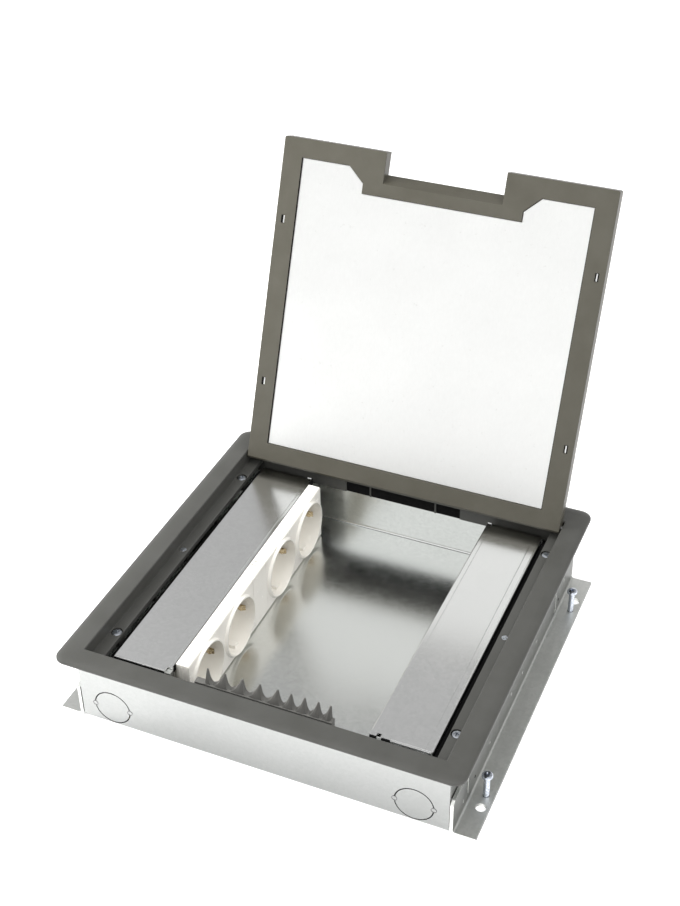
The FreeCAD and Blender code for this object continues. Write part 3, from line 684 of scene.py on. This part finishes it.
# each well has a fixing screw on the low boss in the middle of its floor
SOCKET_Z = 0.0229
WELL_FLOOR_X = -0.0722
WELL_CENTRES = (-0.0319, -0.0769, 0.0319, 0.0769)
WELL_SCREW_R, WELL_SCREW_RISE = 0.0021, 0.0009
well_screws = bmesh.new()
for well_y in WELL_CENTRES:
    well_floor = (WELL_FLOOR_X - 0.00002, well_y, SOCKET_Z)
    add_dome(well_screws, well_floor, (1, 0, 0), WELL_SCREW_R, WELL_SCREW_RISE, 24)
add_piece("well_centre_screws", well_screws, "floor_box", brass, 50)

# the lower clip of each well shows its edge in the wall, and the upper one has two sprung fingers
WELL_R = 0.0195
CLIP_FROM_X, CLIP_TO_X = -0.0700, -0.0640
FINGER_FROM_X, FINGER_TO_X = -0.0690, -0.0615
FINGER_LIFTS = (-0.0016, 0.0009)
FINGER_WIDTH = 0.0007
clip_edges = bmesh.new()
fingers = bmesh.new()
for well_y in WELL_CENTRES:
    add_block(clip_edges, (CLIP_FROM_X, well_y - WELL_R + 0.00015, SOCKET_Z - 0.0002),
              (CLIP_TO_X, well_y - WELL_R + 0.0006, SOCKET_Z + 0.0002))
    for lift in FINGER_LIFTS:
        add_block(fingers, (FINGER_FROM_X, well_y + WELL_R - 0.0022, SOCKET_Z + lift),
                  (FINGER_TO_X, well_y + WELL_R - 0.0017, SOCKET_Z + lift + FINGER_WIDTH), 0.00012)
add_piece("lower_clip_edges", clip_edges, "floor_box", brass)
add_piece("upper_clip_fingers", fingers, "floor_box", brass)


# ---- The compartment covers ----
# Two folded galvanised lids that lift off the wiring spaces on the left and the right.
# Their front edges are hemmed. The right one has a raised line along each long edge, and
# the left one has a bead along the socket bar. Black strips paint the shade in the gaps around them.

cover_zinc = zinc_coat("cover_zinc", (0.88, 0.885, 0.88), (0.945, 0.95, 0.945), (0.16, 0.22), (1, 10, 1))
finish_node("left_cover", cover_zinc)
finish_node("right_cover", cover_zinc)

left_low, left_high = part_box("left_cover")
right_low, right_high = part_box("right_cover")
cover_front, cover_rear, cover_top = left_low[1], left_high[1], left_high[2]
SINK = 0.0002             # how deep an added piece starts in the sheet
END_MARGIN = 0.0004

LINE_WIDTH, LINE_RISE = 0.000475, 0.000225
lines = bmesh.new()
for line_x in (right_low[0] + 0.0034, right_high[0] - 0.0053):
    add_block(lines, (line_x, cover_front + END_MARGIN, cover_top - SINK),
              (line_x + LINE_WIDTH, cover_rear - END_MARGIN, cover_top + LINE_RISE), 0.00012)
add_piece("right_cover_hem_lines", lines, "floor_box", cover_zinc)

BEAD_X = left_high[0] - 0.0029
BEAD_WIDTH, BEAD_RISE = 0.0005, 0.0002
BEAD_START = cover_front + 0.0045
bead = bmesh.new()
add_block(bead, (BEAD_X, BEAD_START, cover_top - SINK),
          (BEAD_X + BEAD_WIDTH, cover_rear - END_MARGIN, cover_top + BEAD_RISE), 0.0001)
add_piece("left_cover_bead", bead, "floor_box", cover_zinc)

# a bent tab stands at each rear inner corner and at the right cover's front inner corner
TAB_OUT = 0.0008
TAB_EASE = 0.0002
REAR_TABS = ((left_high[0] - 0.0042, 0.0030), (right_low[0] + 0.0004, 0.0028))
FRONT_TAB = (right_low[0] + 0.0050, right_low[0] + 0.0080)
tabs = bmesh.new()
for tab_x, tab_width in REAR_TABS:
    add_block(tabs, (tab_x, cover_rear - SINK, cover_top - 0.0040),
              (tab_x + tab_width, cover_rear + TAB_OUT, cover_top + 0.0004), TAB_EASE)
add_block(tabs, (FRONT_TAB[0], cover_front - TAB_OUT, 0.0400),
          (FRONT_TAB[1], cover_front + SINK, cover_top - 0.0003), TAB_EASE)
add_piece("cover_corner_tabs", tabs, "floor_box", cover_zinc)

# the notch in each front inner corner is closed by a web
WEB_DEEP = 0.0042
WEB_EASE = 0.0001
# the left web takes the brackets' zinc, with its painted shade on faces that look along X
left_web = bmesh.new()
add_block(left_web, (left_high[0] - 0.0037, cover_front + 0.0001, 0.0300),
          (left_high[0] + 0.00015, cover_front + WEB_DEEP, cover_top - 0.0016), WEB_EASE)
add_piece("left_cover_corner_web", left_web, "floor_box", bracket_zinc)

right_web = bmesh.new()
add_block(right_web, (right_low[0] + 0.0001, cover_front + 0.00005, 0.0400),
          (right_low[0] + 0.0038, cover_front + WEB_DEEP, cover_top - 0.00005), WEB_EASE)
add_piece("right_cover_corner_web", right_web, "floor_box", cover_zinc)

# the hems run along both front edges and down the right cover's outer edge
HEM_RISE = 0.00015
HEM_DROP = 0.0012
HEM_EASE = 0.0005
HEM_MARGIN = 0.0006
FRONT_HEMS = ((left_low[0] + HEM_MARGIN, left_high[0] - 0.0038, 0.0005),
              (right_low[0] + 0.0134, right_high[0] - HEM_MARGIN, 0.0010))
hems = bmesh.new()
for hem_from, hem_to, hem_reach in FRONT_HEMS:
    add_block(hems, (hem_from, cover_front - hem_reach, cover_top - HEM_DROP),
              (hem_to, cover_front + 0.0008, cover_top + HEM_RISE), HEM_EASE)
add_block(hems, (right_high[0] - 0.0011, cover_front + HEM_MARGIN, cover_top - HEM_DROP),
          (right_high[0] + 0.0002, cover_rear - HEM_MARGIN, cover_top + HEM_RISE), HEM_EASE)
add_piece("cover_front_hems", hems, "floor_box", cover_zinc)

# black strips of painted shade lie under the front hems, beside the socket bar and between the covers and
# the tub
GAP_SHADE_FOOT = 0.0280
GAP_SHADE_DEEP = 0.0400
GAP_SHADE_MARGIN = 0.0010
FRONT_GAP_SHADES = ((left_low[0] + GAP_SHADE_MARGIN, left_high[0] - 0.0037),
              (right_low[0] + 0.0004, right_low[0] + 0.0134))
SIDE_GAP_SHADES = ((left_low[0] - 0.0034, left_low[0] - 0.0002),
             (right_high[0] + 0.0003, right_high[0] + 0.0025))
gap_shades = bmesh.new()
for shade_from, shade_to in FRONT_GAP_SHADES:
    add_block(gap_shades, (shade_from, cover_front - 0.0006, GAP_SHADE_FOOT),
              (shade_to, cover_front + 0.00005, cover_top - 0.0010))
add_block(gap_shades, (left_high[0] - 0.0004, cover_front + 0.0050, GAP_SHADE_DEEP),
          (left_high[0] + 0.0001, cover_rear - END_MARGIN, cover_top + 0.00025))
for shade_from, shade_to in SIDE_GAP_SHADES:
    add_block(gap_shades, (shade_from, cover_front + GAP_SHADE_MARGIN, GAP_SHADE_FOOT),
              (shade_to, cover_rear - GAP_SHADE_MARGIN, GAP_SHADE_DEEP))
add_piece("cover_gap_shade_strips", gap_shades, "floor_box", painted_shade_black)


# ---- The frame ----
# One dark grey moulding that rests on the floor's surface and carries the lid and the comb.
# Its skin is finely spark-eroded, and four sunk screws hold it to the tub.

def dark_plastic(name, shade, lit, dullness):
    """Dark moulded plastic with a fine, even texture."""
    material, tree, principled = surface(name)
    tone = noise(tree, 60, 4.0, 0.6)
    tree.links.new(two_tone(tree, tone, shade, lit), principled.inputs["Base Color"])
    tree.links.new(ranged(tree, tone, *dullness), principled.inputs["Roughness"])
    relief(tree, principled, noise(tree, 3200, 2.0), 0.10, 0.0001, 0.0006)
    return material


frame_grey = dark_plastic("frame_moulding", (0.056, 0.056, 0.051), (0.066, 0.066, 0.061), (0.34, 0.42))
finish_node("bezel_frame", frame_grey)

dull_zinc = plated_steel("dull_screw_zinc", (0.30, 0.32, 0.35), (0.74, 0.78, 0.84), (0.24, 0.38))
low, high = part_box("frame_screws")
LEDGE_SCREW_R = 0.0033
LEDGE_SHANK_R = 0.00175
LEDGE_SCREW_TURNS = (0.2, 0.9, 1.3, 0.6)
ledge_screws = bmesh.new()
corners = [(x, y) for x in (low[0] + LEDGE_SCREW_R, high[0] - LEDGE_SCREW_R)
           for y in (low[1] + LEDGE_SCREW_R, high[1] - LEDGE_SCREW_R)]
for (screw_x, screw_y), turn in zip(corners, LEDGE_SCREW_TURNS):
    one = pan_screw(screw_x, screw_y, low[2], high[2], LEDGE_SCREW_R, LEDGE_SHANK_R, turn)
    one_mesh = bpy.data.meshes.new("ledge_screw_blank")
    one.to_mesh(one_mesh)
    one.free()
    ledge_screws.from_mesh(one_mesh)
made = add_piece("frame_screws_threaded", ledge_screws, "floor_box", dull_zinc, 35)
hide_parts("frame_screws")

# a low pip in the middle of each ledge stays just under the shut lid
LEDGE_TOP = 0.0453
LEDGE_X = 0.1132
REST_PIP_R, REST_PIP_HEIGHT = 0.0021, 0.00025
ledge_pips = bmesh.new()
for side in (-1, 1):
    add_dome(ledge_pips, (side * LEDGE_X, 0, LEDGE_TOP), (0, 0, 1), REST_PIP_R, REST_PIP_HEIGHT)
add_piece("ledge_rest_pips", ledge_pips, "floor_box", dull_zinc, 40)

# the outlets of the back skirt are filled by black strips, the painted shade in their pockets
OUTLET_EDGES = (-0.0435, -0.0246, 0.0246, 0.0435)
OUTLET_MARGIN = 0.00065
STRIP_NEAR_Y, STRIP_FAR_Y = 0.1152, 0.1191
STRIP_FOOT, STRIP_TOP = 0.0345, 0.0429
strips = bmesh.new()
for outlet_left, outlet_right in zip(OUTLET_EDGES, OUTLET_EDGES[1:]):
    add_block(strips, (outlet_left + OUTLET_MARGIN, STRIP_NEAR_Y, STRIP_FOOT),
              (outlet_right - OUTLET_MARGIN, STRIP_FAR_Y, STRIP_TOP))
add_piece("outlet_shade_strips", strips, "floor_box", painted_shade_black)


# ---- The cable comb ----
# A moulded comb of nine pointed teeth that stands in the front of the opening.
# It hooks in the window of the frame's front skirt and keeps the cables apart.

def add_prism_x(bm, outline, start, end):
    """A closed outline of (y, z) points drawn out along X."""
    near_end = [bm.verts.new((start, y, z)) for y, z in outline]
    far_end = [bm.verts.new((end, y, z)) for y, z in outline]
    bm.faces.new(near_end)
    bm.faces.new(list(reversed(far_end)))
    for k in range(len(outline)):
        j = (k + 1) % len(outline)
        bm.faces.new((near_end[j], near_end[k], far_end[k], far_end[j]))


def flank(reach, lean, low):
    """How far a tooth's flank stands out: a straight lean, and a flare at its foot."""
    return reach * (lean * low + (1 - lean) * low ** FLARE_POWER)


def add_comb_tooth(bm, tip, left_span, right_span):
    """A thorn: its flanks sweep out to the gaps beside it, and a ridge runs down its front."""
    levels = []
    for height in TOOTH_LEVELS:
        low = 1 - max(height, 0.0)
        left = tip - TIP_LEFT - flank(left_span - TIP_LEFT, LEFT_LEAN, low)
        right = tip + TIP_RIGHT + flank(right_span - TIP_RIGHT, RIGHT_LEAN, low)
        ridge = tip - 0.0002 - RIDGE_LEAN * (left_span - TIP_RIGHT) * low
        right_edge = right - EDGE_SHARE * (right - ridge)
        left_edge = left + EDGE_SHARE * (ridge - left)
        front = COMB_BACK - TIP_THICK - ROOT_SWELL * low ** 0.8
        edge_front = front + RIDGE_RISE
        z = COMB_ROOT + (COMB_TIP - COMB_ROOT) * height
        outline = ((left, COMB_BACK), (right, COMB_BACK), (right_edge, edge_front),
                   (ridge, front), (left_edge, edge_front))
        levels.append([bm.verts.new((x, y, z)) for x, y in outline])
    bm.faces.new(list(reversed(levels[0])))
    bm.faces.new(levels[-1])
    for lower, upper in zip(levels, levels[1:]):
        for k in range(5):
            j = (k + 1) % 5
            bm.faces.new((lower[k], lower[j], upper[j], upper[k]))


COMB_BACK = -0.1036
WEB_FRONT = COMB_BACK - 0.0044
COMB_ROOT = 0.0449
COMB_TIP = 0.0544
COMB_FOOT = 0.0362
COMB_LEFT, COMB_RIGHT = -0.0478, 0.0428

comb_grey = dark_plastic("comb_moulding", (0.118, 0.116, 0.108), (0.142, 0.140, 0.132), (0.30, 0.38))
comb = bmesh.new()
web_outline = [(WEB_FRONT, COMB_FOOT), (COMB_BACK, COMB_FOOT),
               (COMB_BACK, COMB_ROOT), (WEB_FRONT, COMB_ROOT - 0.0002)]
add_prism_x(comb, web_outline, COMB_LEFT, COMB_RIGHT)

# the left end steps up to the first tooth
STEP_X = -0.0424
SHOULDER_X = -0.0396
STEP_TOP, SHOULDER_TOP = 0.0419, 0.0452
SHOULDER_EASE = 0.0003
add_block(comb, (COMB_LEFT, WEB_FRONT, COMB_FOOT + 0.0002),
          (SHOULDER_X, COMB_BACK - 0.0001, STEP_TOP), SHOULDER_EASE)
add_block(comb, (STEP_X, WEB_FRONT + 0.0001, COMB_FOOT + 0.0004),
          (SHOULDER_X, COMB_BACK - 0.0002, SHOULDER_TOP), SHOULDER_EASE)

# four wide gaps are followed by four narrow ones, of which the last is a little narrower still
FIRST_TIP, LAST_TIP = -0.0401, 0.0407
WIDE_PITCH, NARROW_PITCH = 0.01163, 0.0088
WIDE_VALLEY, NARROW_VALLEY = 0.0036, 0.0030
END_LEFT_SPAN, END_RIGHT_SPAN = 0.0011, 0.0009
TOOTH_LEVELS = (-0.16, 0.0, 0.03, 0.07, 0.13, 0.22, 0.4, 0.7, 0.93, 1.0)
TIP_LEFT, TIP_RIGHT = 0.00055, 0.0005
LEFT_LEAN, RIGHT_LEAN, RIDGE_LEAN = 0.62, 0.5, 0.25
FLARE_POWER = 7
TIP_THICK, ROOT_SWELL = 0.0009, 0.0032
RIDGE_RISE = 0.0006
EDGE_SHARE = 0.2

tip = FIRST_TIP
add_comb_tooth(comb, tip, END_LEFT_SPAN, WIDE_VALLEY)
for pitch, valley in [(WIDE_PITCH, WIDE_VALLEY)] * 4 + [(NARROW_PITCH, NARROW_VALLEY)] * 4:
    tip = min(tip + pitch, LAST_TIP)
    right_span = END_RIGHT_SPAN if tip == LAST_TIP else valley
    add_comb_tooth(comb, tip, pitch - valley, right_span)

# the foot reaches forward under three hooks and four gussets
OPEN_FRONT = -0.1176
FOOT_HALF, FOOT_THICK = 0.0410, 0.0024
HOOK_PLACES = (-0.034, 0.0, 0.034)
HOOK_HALF, HOOK_THICK, HOOK_REACH = 0.0050, 0.0020, 0.0022
GUSSET_PLACES = (-0.030, -0.010, 0.010, 0.030)
GUSSET_HALF, GUSSET_LENGTH = 0.0006, 0.0070
OVERLAP = 0.0010
add_block(comb, (-FOOT_HALF, OPEN_FRONT + 0.0002, COMB_FOOT),
          (FOOT_HALF, WEB_FRONT + OVERLAP, COMB_FOOT + FOOT_THICK), 0.0002)
for hook_x in HOOK_PLACES:
    add_block(comb, (hook_x - HOOK_HALF, OPEN_FRONT - HOOK_REACH, COMB_FOOT),
              (hook_x + HOOK_HALF, OPEN_FRONT + OVERLAP, COMB_FOOT + HOOK_THICK))
gusset_back = WEB_FRONT + OVERLAP
gusset_outline = [(WEB_FRONT - GUSSET_LENGTH, COMB_FOOT + HOOK_THICK),
                  (gusset_back, COMB_FOOT + HOOK_THICK), (gusset_back, COMB_ROOT - 0.0024)]
for gusset_x in GUSSET_PLACES:
    add_prism_x(comb, gusset_outline, gusset_x - GUSSET_HALF, gusset_x + GUSSET_HALF)
made = add_piece("cable_comb_moulded", comb, "floor_box", comb_grey, 30)
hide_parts("cable_comb")


# ---- The lid ----
# A moulded frame with a galvanised plate let into its underside, swung on two steel pins.
# Its free edge is cut out where the cables leave when it is shut. Lugs of the plate stand in
# the slots of the side rails, and a black strip of painted shade runs along each of the plate's long edges.

lid_grey = dark_plastic("lid_moulding", (0.062, 0.058, 0.044), (0.074, 0.070, 0.055), (0.36, 0.44))
finish_node("lid_frame", lid_grey)

plate_zinc, plate_tree, plate_principled = surface("plate_zinc")
plate_cloud = noise(plate_tree, 22, 4.0, 0.6)
plate_grain = noise(plate_tree, 700, 3.0, 0.6, (1, 1, 0.15))
plate_tone = blend(plate_tree, 0.5, plate_cloud, plate_grain)
plate_colour = two_tone(plate_tree, plate_tone, (0.875, 0.88, 0.865), (0.925, 0.93, 0.915))
specks = two_tone(plate_tree, noise(plate_tree, 260, 2.0, 0.7), (1, 1, 1), (0.90, 0.90, 0.89), 0.67, 0.80)
speckled = plate_tree.nodes.new("ShaderNodeMix")
speckled.data_type = "RGBA"
speckled.blend_type = "MULTIPLY"
speckled.inputs["Factor"].default_value = 1.0
plate_tree.links.new(plate_colour, speckled.inputs["A"])
plate_tree.links.new(specks, speckled.inputs["B"])
plate_tree.links.new(speckled.outputs["Result"], plate_principled.inputs["Base Color"])
plate_tree.links.new(ranged(plate_tree, plate_tone, 0.30, 0.38), plate_principled.inputs["Roughness"])
plate_principled.inputs["Metallic"].default_value = 1.0
relief(plate_tree, plate_principled, plate_grain, 0.03, 0.0002, 0.0004)
finish_node("lid_plate", plate_zinc)

pin_steel = plated_steel("pin_steel", (0.45, 0.45, 0.45), (0.60, 0.60, 0.60), (0.2, 0.3))
for side in ("left", "right"):
    finish_node(f"hinge_pin_{side}", pin_steel)

# each slot is half lug and half dark gap, the gap a black block of painted shade; all of these are drawn for
# the shut lid and swung open
HINGE_Y, HINGE_Z = 0.1107, 0.0518
OPEN_ANGLE = math.radians(-111.0)
LID_UNDER = 0.0456


def swung_open(bm):
    """Turns what was drawn for the shut lid back on its hinge."""
    turn = Matrix.Rotation(OPEN_ANGLE, 3, "X")
    bmesh.ops.rotate(bm, verts=bm.verts, cent=(0, HINGE_Y, HINGE_Z), matrix=turn)
    return bm


SLOT_X = 0.1109
SLOT_PLACES = (-0.0605, 0.0550)
SLOT_HALF_X, SLOT_HALF_Y = 0.00125, 0.00275
SLOT_SHADE_FROM, SLOT_SHADE_TO = LID_UNDER + 0.0004, LID_UNDER + 0.0040
LUG_FROM, LUG_TO = LID_UNDER + 0.0001, LID_UNDER + 0.0041
LUG_HALF_Y = SLOT_HALF_Y - 0.0002
LUG_EASE = 0.00025
slot_shades = bmesh.new()
lugs = bmesh.new()
for side, lug_left, lug_right in ((-1, 0.00020, 0.00120), (1, -0.00050, 0.00045)):
    slot_x = side * SLOT_X
    for slot_y in SLOT_PLACES:
        add_block(slot_shades, (slot_x - SLOT_HALF_X, slot_y - SLOT_HALF_Y, SLOT_SHADE_FROM),
                  (slot_x + SLOT_HALF_X, slot_y + SLOT_HALF_Y, SLOT_SHADE_TO))
        add_block(lugs, (slot_x + lug_left, slot_y - LUG_HALF_Y, LUG_FROM),
                  (slot_x + lug_right, slot_y + LUG_HALF_Y, LUG_TO), LUG_EASE)
add_piece("lid_slot_shades", swung_open(slot_shades), "lid", painted_shade_black)
add_piece("lid_plate_lugs", swung_open(lugs), "lid", plate_zinc)

# black strips paint the shade in the seam along each of the plate's long edges
EDGE_SHADE_INNER, EDGE_SHADE_OUTER = 0.10175, 0.10215
EDGE_SHADE_FRONT, EDGE_SHADE_REAR = -0.1034, 0.0994
EDGE_SHADE_FROM, EDGE_SHADE_TO = LID_UNDER + 0.00005, LID_UNDER + 0.0012
edge_shades = bmesh.new()
for shade_left, shade_right in ((-EDGE_SHADE_OUTER, -EDGE_SHADE_INNER), (EDGE_SHADE_INNER, EDGE_SHADE_OUTER)):
    add_block(edge_shades, (shade_left, EDGE_SHADE_FRONT, EDGE_SHADE_FROM), (shade_right, EDGE_SHADE_REAR, EDGE_SHADE_TO))
add_piece("plate_edge_shades", swung_open(edge_shades), "lid", painted_shade_black)
